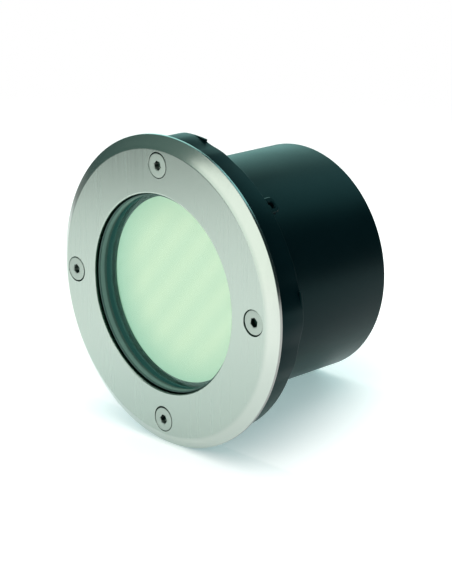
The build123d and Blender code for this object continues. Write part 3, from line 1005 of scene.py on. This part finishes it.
    def seal_piece(self) -> bpy.types.Object:
        """Rubber channel round the glass, with a round bead that stands up inside the window.

        Returns:
            The seal.
        """
        profile = outline([
            Corner(self.bead, self.bead_top, 0.28),
            Corner(self.bead_outer, self.bead_top, 0.28),
            Corner(self.bead_outer, self.back, 0.1),
            Corner(self.seal, self.back, 0.2),
            Corner(self.seal, self.seal_back, 0.2),
            Corner(self.bead, self.seal_back, 0.2),
            Corner(self.bead, self.glass_back, 0.1),
            Corner(self.glass, self.glass_back),
            Corner(self.glass, self.glass_front),
            Corner(self.bead, self.glass_front, 0.1),
        ], closed=True)
        return of_grid("window_seal", turned(profile, around()))

    def shade_piece(self) -> bpy.types.Object:
        """Thin flat ring behind the glass."""
        profile = section(self.shade, self.seal, self.seal_back, self.shade_back, (0.25, 0.15, 0.15, 0.25))
        return of_grid("dark_shade", turned(profile, around()))


@dataclass
class Sleeve:
    """Tube that stays in the wall, with a collar and its lugs, pads and eyelets. Millimetres."""

    collar: float = 52.2
    collar_bore: float = 50.2
    collar_front: float = -10.4
    collar_floor: float = -2.0
    tube: float = 41.5
    bore: float = 39.9
    length: float = 54.0
    foot: float = 0.6
    wall_margin: float = 0.35
    wall_end: float = 0.01
    pad_height: float = 0.6
    pad_half_angle: float = 22.0
    pad_step: float = 8.0
    lug_height: float = 1.9
    lug_foot: float = 11.0
    lug_crest: float = 0.5
    lug_hold: float = 3.0
    lug_fall: float = 14.0
    lip_end: float = 10.0
    lip_thickness: float = 1.0
    lip_soft: float = 0.2
    lip_sunk: float = 0.02
    lip_columns: int = 21
    eyelet_width: float = 6.0
    eyelet_height: float = 4.8
    eyelet_hole: float = 1.2
    eyelet_inner: float = 48.8
    eyelet_outer: float = 51.0
    eyelet_root: float = 1.0
    eyelet_round: float = 1.8
    eyelet_soft: float = 0.35
    eyelet_columns: int = 72

    def build(self) -> None:
        """Make and dress the sleeve."""
        shell = Shell()
        self.tube_and_collar(shell)
        for index, clock in enumerate(SCREW_CLOCKS):
            self.lip(shell, clock, -1 if index % 2 else 1)
        for clock in EYELET_CLOCKS:
            self.eyelet(shell, clock)
        hand_over(shell.build("wall_sleeve"), Body.SLEEVE, SLEEVE, "mounting_sleeve")

    def tube_and_collar(self, shell: Shell) -> None:
        """Turned tube and collar, whose outer wall stands out at each screw's clock angle.

        The lift is the pad's height times a smooth step of the angle from the pad's middle. The lug comes on
        top: a short climb to its crest and a long fall in front of its lip, mirrored at every second screw.

        Args:
            shell: Shell that takes the tube and the collar.
        """
        angles = around(2 * COLUMNS)
        profile = outline([
            Corner(self.collar_bore, self.collar_front, 0.2),
            Corner(self.collar, self.collar_front, 0.3),
            Corner(self.collar, 0, 0.3),
            Corner(self.tube + self.foot, 0),
            Corner(self.tube, self.foot),
            Corner(self.tube, self.length, 0.7),
            Corner(self.bore, self.length, 0.4),
            Corner(self.bore, self.collar_floor, 0.2),
            Corner(self.collar_bore, self.collar_floor, 0.2),
        ], closed=True)
        nearest = np.round(angles / (TURN / 4))
        hand = 1 - 2 * (nearest % 2)
        off = np.degrees(angles - nearest * TURN / 4) * hand
        edge = np.clip((self.pad_half_angle - np.abs(off)) / self.pad_step + 0.5, 0, 1)
        climb = (off + self.lug_foot) / (self.lug_foot - self.lug_crest)
        fall = (self.lug_fall - off) / (self.lug_fall - self.lug_hold)
        crest = np.clip(np.minimum(climb, fall), 0, 1)
        lift = smooth(edge) * self.pad_height + smooth(crest) * (self.lug_height - self.pad_height)
        outside = profile[:, :1] > (self.collar - self.wall_margin) * MM
        on_wall = outside & (profile[:, 1:] < self.wall_end * MM)
        shell.add(turned(profile, angles, on_wall * lift * MM), tube=True)

    def lip(self, shell: Shell, clock: float, hand: int) -> None:
        """Thin upright lip along a lug's rear edge, which ends square where the lug falls away.

        The section is a rounded rectangle. The first and last columns shrink to a point that closes the end.

        Args:
            shell: Shell that takes the lip.
            clock: Clock angle of the lug.
            hand: 1 for a lip that points clockwise, -1 for the other way.
        """
        soft = self.lip_soft
        top = self.collar + self.lug_height - self.lip_sunk
        foot = self.collar - self.pad_height
        profile = section(foot, top, -self.lip_thickness, 0, (soft, soft, soft, soft))
        ease = math.degrees(soft / top)
        sweep = np.linspace(ease, self.lip_end - ease, self.lip_columns)
        degrees = np.concatenate([[0.0, 0.0], sweep, [self.lip_end, self.lip_end]])
        size = np.concatenate([[0.0, 1.0], np.ones(sweep.size), [1.0, 0.0]])
        inset = np.concatenate([[0.0, soft], np.zeros(sweep.size), [soft, 0.0]]) * MM
        middle = profile.mean(axis=0)
        reach = profile - middle
        limit = np.abs(reach).max(axis=0) - inset[:, None]
        shaped = np.clip(reach[:, None, :] * size[:, None], -limit, limit) + middle
        radius, depth = shaped[..., 0], shaped[..., 1]
        angles = np.radians(clock + hand * degrees)
        bar = np.stack([radius * np.sin(angles), depth, radius * np.cos(angles)], axis=-1)
        shell.add(bar, ring=False, tube=True)

    def eyelet(self, shell: Shell, clock: float) -> None:
        """Upright tab with a hole: rings from the hole's edge out over the tab's face and back.

        Args:
            shell: Shell that takes the tab.
            clock: Clock angle of the tab.
        """
        half = self.eyelet_width / 2
        tab = outline([
            Corner(-half, -self.eyelet_root),
            Corner(half, -self.eyelet_root),
            Corner(half, self.eyelet_height, self.eyelet_round),
            Corner(-half, self.eyelet_height, self.eyelet_round),
        ], closed=True)
        walk = np.concatenate([tab, tab[:1]])
        length = np.concatenate([[0], np.cumsum(np.linalg.norm(np.diff(walk, axis=0), axis=1))])
        even = np.linspace(0, length[-1], self.eyelet_columns + 1)[:-1]
        edge = np.stack([np.interp(even, length, walk[:, axis]) for axis in (0, 1)], axis=-1)
        hole = np.array([0.0, self.eyelet_height / 2]) * MM
        offset = edge - hole
        reach = np.linalg.norm(offset, axis=1, keepdims=True)
        way = offset / reach
        soft = self.eyelet_soft * MM
        wall = self.eyelet_hole * MM
        rings = [wall, wall + soft, reach - soft, reach, reach, reach - soft, wall + soft, wall]
        inner, outer = self.eyelet_inner * MM, self.eyelet_outer * MM
        heights = [outer - soft, outer, outer, outer - soft, inner + soft, inner, inner, inner + soft]
        flat = np.stack([hole + way * ring for ring in rings])
        height = np.array(heights)[:, None]
        turn = math.radians(clock)
        across = flat[..., 0] * math.cos(turn) + height * math.sin(turn)
        upward = height * math.cos(turn) - flat[..., 0] * math.sin(turn)
        shell.add(np.stack([across, flat[..., 1], upward], axis=-1), tube=True)


@dataclass
class Housing:
    """Pot that holds the lamp, its flange, and the cable gland in its back wall. Millimetres."""

    seat: float = 40.9
    flange: float = 49.9
    front: float = -10.6
    flange_back: float = -2.0
    rabbet: float = 1.7
    wall: float = 39.6
    bore: float = 38.0
    ledge: float = -3.8
    inside: float = 39.8
    back: float = 41.8
    gland_hole: float = 6.1
    insert: float = 3.3
    insert_bore: float = 2.6
    insert_end: float = -4.1
    insert_hole_end: float = -3.7
    rubber: float = 0.75
    thread: float = 6.0
    cable_bore: float = 4.2
    grip_bore: float = 3.5
    grip: float = 4.1
    key: float = 15.0
    gland_front: float = 33.3
    flange_front: float = 42.8
    flange_end: float = 46.3
    neck_end: float = 51.8
    cap_front: float = 46.5
    cap_back: float = 53.9
    cap_wall: float = 1.6
    cap_play: float = 0.1
    flange_margin: float = 0.4
    mouth: float = 0.1
    core_margin: float = 0.2
    flange_bevel: Span = (0.5, 0.35)
    cap_bevel: Span = (0.4, 0.3)
    rubber_steps: int = 24
    washer_columns: int = 120

    @property
    def key_corner(self) -> float:
        """Radius of the gland's hexagon at its corners."""
        return self.key / 2 / math.cos(TURN / 12)

    def build(self) -> None:
        """Make and dress the housing and its gland."""
        hand_over(self.pot(), Body.LUMINAIRE, HOUSING, "lamp_housing")
        hand_over(self.inserts(), Body.LUMINAIRE, BRASS, "threaded_inserts")
        hand_over(self.flange_rubber(), Body.LUMINAIRE, RUBBER, "housing_seal")
        hand_over(self.gland_tube(), Body.LUMINAIRE, GLAND, "gland_body")
        hand_over(self.gland_cap(), Body.LUMINAIRE, GLAND, "gland_cap")
        hand_over(self.cable_grip(), Body.LUMINAIRE, RUBBER, "gland_sleeve")
        hand_over(self.washer(), Body.LUMINAIRE, RUBBER, "gland_washer")

    def pot(self) -> bpy.types.Object:
        """Turned pot, whose flange has a blind hole for each insert.

        Returns:
            The pot.
        """
        shell = Shell()
        band = HoledBand(self.seat + self.flange_margin, self.flange - self.flange_margin, self.front)
        hole = outline([
            Corner(self.insert + self.mouth, self.front),
            Corner(self.insert, self.front + self.mouth),
            Corner(self.insert, self.insert_hole_end),
            Corner(0, self.insert_hole_end),
        ])
        band.fill(shell, hole)
        profile = outline([
            Corner(band.outer, self.front),
            Corner(self.flange, self.front, 0.3),
            Corner(self.flange, self.flange_back - self.rabbet, 0.1),
            Corner(self.flange - self.rabbet, self.flange_back - self.rabbet, 0.1),
            Corner(self.flange - self.rabbet, self.flange_back, 0.2),
            Corner(self.wall, self.flange_back, 0.4),
            Corner(self.wall, self.back, 2.5),
            Corner(self.gland_hole, self.back),
            Corner(self.gland_hole, self.inside),
            Corner(self.bore, self.inside, 1.0),
            Corner(self.bore, self.ledge, 0.2),
            Corner(self.seat, self.ledge, 0.2),
            Corner(self.seat, self.front, 0.2),
            Corner(band.inner, self.front),
        ])
        shell.add(turned(profile, around()))
        return shell.build("lamp_pot")

    def inserts(self) -> bpy.types.Object:
        """Four brass bushes with softened mouths.

        Returns:
            The bushes, as one piece.
        """
        shell = Shell()
        ends = (self.insert_bore, self.insert, self.front, self.insert_end)
        grid = turned(section(*ends, (0.25, 0.15, 0.15, 0.15)), around(SMALL_COLUMNS))
        for clock in SCREW_CLOCKS:
            shell.add(at_screw(grid, clock), tube=True)
        return shell.build("brass_inserts")

    def flange_rubber(self) -> bpy.types.Object:
        """Round rubber ring in the corner behind the flange.

        Returns:
            The rubber ring.
        """
        turn = around(self.rubber_steps)[:, None]
        middle = np.array([self.flange - self.rabbet / 2, self.flange_back - self.rabbet / 2])
        profile = (middle + self.rubber * np.concatenate([np.cos(turn), np.sin(turn)], axis=1)) * MM
        return of_grid("flange_rubber", turned(profile, around()))

    def six_sided(self, profile: np.ndarray, core: float) -> Grid:
        """Profile turned about the axis, with its points outside a round core cut to the gland's hexagon.

        Args:
            profile: Points of radius and depth in metres.
            core: Radius of the round core in millimetres.

        Returns:
            Grid of points.
        """
        angles = around(GLAND_COLUMNS)
        radius = profile[:, :1]
        outside = radius > (core + self.core_margin) * MM
        cut = np.where(outside, np.minimum(radius, hexagon(angles, self.key * MM)), radius)
        return turned(profile * (0, 1), angles, cut)

    def gland_tube(self) -> bpy.types.Object:
        """Threaded tube with a six-sided flange.

        Returns:
            The tube.
        """
        corner = self.key_corner
        inward, along = self.flange_bevel
        profile = outline([
            Corner(self.cable_bore, self.gland_front, 0.2),
            Corner(self.thread, self.gland_front, 0.4),
            Corner(self.thread, self.flange_front),
            Corner(corner - inward, self.flange_front),
            Corner(corner, self.flange_front + along),
            Corner(corner, self.flange_end - along),
            Corner(corner - inward, self.flange_end),
            Corner(self.thread, self.flange_end),
            Corner(self.thread, self.neck_end, 0.4),
            Corner(self.cable_bore, self.neck_end, 0.2),
        ], closed=True)
        return of_grid("gland_tube", self.six_sided(profile, self.thread))

    def gland_cap(self) -> bpy.types.Object:
        """Six-sided cap whose end is rounded off to the cable's hole.

        Returns:
            The cap.
        """
        corner = self.key_corner
        inward, along = self.cap_bevel
        end = self.key / 2 - self.cap_wall
        inner = self.thread + self.cap_play
        profile = outline([
            Corner(inner, self.cap_front, 0.15),
            Corner(corner - inward, self.cap_front),
            Corner(corner, self.cap_front + along),
            Corner(corner, self.cap_back - (corner - end), 1.2),
            Corner(end, self.cap_back, 0.8),
            Corner(self.cable_bore, self.cap_back, 0.4),
            Corner(self.cable_bore, self.cap_back - self.cap_wall, 0.2),
            Corner(inner, self.cap_back - self.cap_wall, 0.2),
        ], closed=True)
        return of_grid("gland_nut", self.six_sided(profile, inner))

    def cable_grip(self) -> bpy.types.Object:
        """Rubber sleeve inside the gland."""
        profile = section(self.grip_bore, self.grip, self.back, self.neck_end, (0.2, 0.1, 0.1, 0.25))
        return of_grid("cable_grip", turned(profile, around(SMALL_COLUMNS)))

    def washer(self) -> bpy.types.Object:
        """Flat rubber washer under the gland's flange."""
        profile = section(self.gland_hole, self.key / 2, self.back, self.flange_front, (0.1, 0.3, 0.3, 0.1))
        return of_grid("gland_gasket", turned(profile, around(self.washer_columns)))


@dataclass
class Lamp:
    """Frosted cap of the disc lamp. Millimetres."""

    radius: float = 37.5
    front: float = -3.5
    cap_back: float = 6.8
    wall: float = 1.4
    shoulder: float = 2.0
    inner_shoulder: float = 1.1
    columns: int = 240

    def build(self) -> None:
        """Make and dress the cap."""
        hand_over(self.cap(), Body.LAMP, DIFFUSER, "lamp_diffuser")

    def cap(self) -> bpy.types.Object:
        """Shallow cap with a soft shoulder.

        Returns:
            The cap.
        """
        inner = self.radius - self.wall
        profile = outline([
            Corner(0, self.front),
            Corner(self.radius, self.front, self.shoulder),
            Corner(self.radius, self.cap_back, 0.2),
            Corner(inner, self.cap_back, 0.2),
            Corner(inner, self.front + self.wall, self.inner_shoulder),
            Corner(0, self.front + self.wall),
        ])
        return of_grid("frosted_cap", turned(profile, around(self.columns)), tube=False)


class Inside:
    """Rest of the lamp, its holder and the wiring inside the pot, which keep their solids."""

    finishes: dict[str, Finish] = {
        "lamp_tube": TUBE,
        "lamp_tray": LAMP_WHITE,
        "lamp_base": LAMP_WHITE,
        "lamp_pins": BRASS,
        "ballast_board": BOARD,
        "ballast_choke": COPPER,
        "ballast_capacitor": CAN,
        "lampholder": HOLDER_WHITE,
        "holder_contacts": BRASS,
        "holder_screws": STEEL_SCREW,
        "terminal_block": BLOCK_WHITE,
        "terminal_screws": STEEL_SCREW,
        "live_wire": WIRE_BROWN,
        "neutral_wire": WIRE_BLUE,
        "gland_locknut": GLAND,
    }

    def build(self) -> None:
        """Dress each solid."""
        for node, finish in self.finishes.items():
            keep_solid(node, finish)


# Studio


@dataclass(frozen=True)
class Softbox:
    """Large area light that faces a point at or near the light. Metres and watts."""

    name: str
    place: Triple
    aim: Triple
    width: float
    height: float
    power: float
    colour: Colour = WHITE

    def build(self) -> None:
        """Put the light in the scene, out of the camera's own sight."""
        lamp = bpy.data.lights.new(self.name, "AREA")
        lamp.shape = "RECTANGLE"
        lamp.size = self.width
        lamp.size_y = self.height
        lamp.energy = self.power
        lamp.color = self.colour
        holder = bpy.data.objects.new(self.name, lamp)
        holder.location = self.place
        way = Vector(self.aim) - Vector(self.place)
        holder.rotation_mode = "QUATERNION"
        holder.rotation_quaternion = way.to_track_quat("-Z", "Y")
        holder.visible_camera = False
        bpy.context.scene.collection.objects.link(holder)


@dataclass
class Studio:
    """White floor, pale surroundings, soft lights and the camera. Metres, apart from lens and sensor."""

    floor_size: float = 2.4
    fine_radius: float = 0.2
    fine_rings: int = 101
    coarse_radius: float = 0.25
    coarse_rings: int = 44
    bright_centre: Span = (0.2, -0.4)
    fade_span: Span = (0.55, 1.0)
    opening: Span = (-0.47, -0.40)
    opening_span: Span = (0.12, 0.30)
    # The floor glows dimmer within this span of the recessed light, as a painted shadow that fades outwards
    glow_span: Span = (0.065, 0.15)
    glow: Colour = (0.24, 0.36, 0.36)
    far_glow: Colour = (0.46, 0.53, 0.52)
    paper_dark: Colour = (0.90, 0.80, 0.80)
    paper_pale: Colour = (0.94, 0.84, 0.84)
    paper_roughness: float = 0.7
    fibre: Triple = (300.0, 300.0, 300.0)
    ramp_start: float = -0.001
    ramp_length: float = 0.0545
    ramp_rise: float = 0.0132
    fill: Colour = (0.60, 0.62, 0.62)
    room_back: Colour = (0.025, 0.055, 0.055)
    room_front: Colour = (0.14, 0.225, 0.205)
    ground: Colour = (0.24, 0.27, 0.26)
    front_span: Span = (-0.6, 0.5)
    horizon: Span = (-0.06, 0.02)
    eye: Triple = (0.44372, -0.40166, 0.18034)
    ahead: Triple = (-0.69621, 0.65574, -0.29205)
    upward: Triple = (-0.20348, 0.20989, 0.95632)
    lens: float = 110.96
    sensor: float = 36.0
    clip_start: float = 0.01
    lights: tuple[Softbox, ...] = (
        Softbox("overhead", (0.14, -0.05, 0.95), (0, 0, 0), 0.9, 0.9, 5.0, (1.0, 1.0, 0.98)),
        Softbox("front", (0.05, -0.95, 0.37), (0, 0, 0.1), 1.14, 0.87, 4.5, (1.0, 0.975, 0.92)),
        Softbox("rear_left", (-0.62, 0.62, 0.32), (0, 0, 0), 0.8, 0.7, 2.7, (0.5, 1.0, 0.93)),
        Softbox("rear", (0.05, 0.85, 0.68), (0, 0, 0), 0.6, 0.5, 1.6, (0.45, 1.0, 1.0)),
    )

    def build(self) -> None:
        """Make the whole studio."""
        self.floor()
        self.surroundings()
        self.camera()
        for light in self.lights:
            light.build()
        view = bpy.context.scene.view_settings
        view.view_transform = "Standard"
        LOG.info("studio ready")

    def floor(self) -> None:
        """Pale light table, which rises gently under the tube, fades out far off and has an opening aside."""
        angles = around()
        fine = np.linspace(0, self.fine_radius, self.fine_rings)
        coarse = np.linspace(self.coarse_radius, self.floor_size, self.coarse_rings)
        radii = np.concatenate([fine, coarse])[:, None]
        side, depth = radii * np.cos(angles), radii * np.sin(angles)
        climb = np.clip(depth - self.ramp_start, 0, self.ramp_length)
        level = CAD_BOX[0].z + climb * self.ramp_rise / self.ramp_length
        parts = np.broadcast_arrays(side, depth, level)
        disc = of_grid("floor", np.stack(parts, axis=-1), tube=False)
        made = bpy.data.materials.new("floor_paper")
        graph = Graph(made)
        x, y, _ = graph.place()
        opening = 1 - distance(x, y, self.opening).ramp(self.opening_span)
        # Painted shadow: the glow is dimmer near the recessed light and brighter beyond glow_span
        beyond_painted_shadow = distance(x, y).ramp(self.glow_span)
        fade = distance(x, y, self.bright_centre).ramp(self.fade_span).greater(opening)
        paper = graph.node("ShaderNodeBsdfPrincipled", inputs={
            "Base Color": graph.blend(graph.noise(self.fibre, 3.0), self.paper_dark, self.paper_pale),
            "Roughness": self.paper_roughness,
            "Emission Color": graph.blend(beyond_painted_shadow, self.glow, self.far_glow),
            "Emission Strength": 1.0,
        })
        mixed = graph.mixed(fade, paper, graph.node("ShaderNodeBsdfTransparent"))
        graph.node("ShaderNodeOutputMaterial", inputs={"Surface": mixed.outputs[0]})
        disc.data.materials.append(made)

    def surroundings(self) -> None:
        """White backdrop, with a dim room above the horizon in what the light's own surfaces reflect."""
        world = bpy.data.worlds.new("studio_room")
        bpy.context.scene.world = world
        world.cycles.sampling_method = "NONE"
        graph = Graph(world)
        _, toward, height = graph.place("Generated")
        front = 1 - toward.ramp(self.front_span)
        below = 1 - height.ramp(self.horizon)
        room = graph.blend(front, self.room_back, self.room_front)
        around_light = graph.blend(below, room, self.ground)
        dim, fill, white = [
            graph.node("ShaderNodeBackground", inputs={"Color": colour})
            for colour in (around_light, opaque(self.fill), opaque(WHITE))
        ]
        ray = graph.node("ShaderNodeLightPath").outputs
        lit = graph.mixed(ray["Is Glossy Ray"], fill, dim)
        mixed = graph.mixed(ray["Is Camera Ray"], lit, white)
        graph.node("ShaderNodeOutputWorld", inputs={"Surface": mixed.outputs[0]})

    def camera(self) -> None:
        """Camera at the photograph's viewing angle."""
        data = bpy.data.cameras.new("camera")
        data.sensor_width = self.sensor
        data.lens = self.lens
        data.clip_start = self.clip_start
        holder = bpy.data.objects.new("camera", data)
        ahead = Vector(self.ahead).normalized()
        right = ahead.cross(Vector(self.upward)).normalized()
        upward = right.cross(ahead)
        turn = Matrix((right, upward, -ahead)).transposed().to_4x4()
        holder.matrix_world = Matrix.Translation(Vector(self.eye)) @ turn
        bpy.context.scene.collection.objects.link(holder)
        bpy.context.scene.camera = holder


def main() -> None:
    """Build the light's sub-assemblies in order, then the studio."""
    logging.basicConfig(level=logging.INFO, format="%(name)s: %(message)s")
    for part in (Cover(), Sleeve(), Housing(), Lamp(), Inside(), Studio()):
        part.build()


if __name__ == "__main__":
    main()
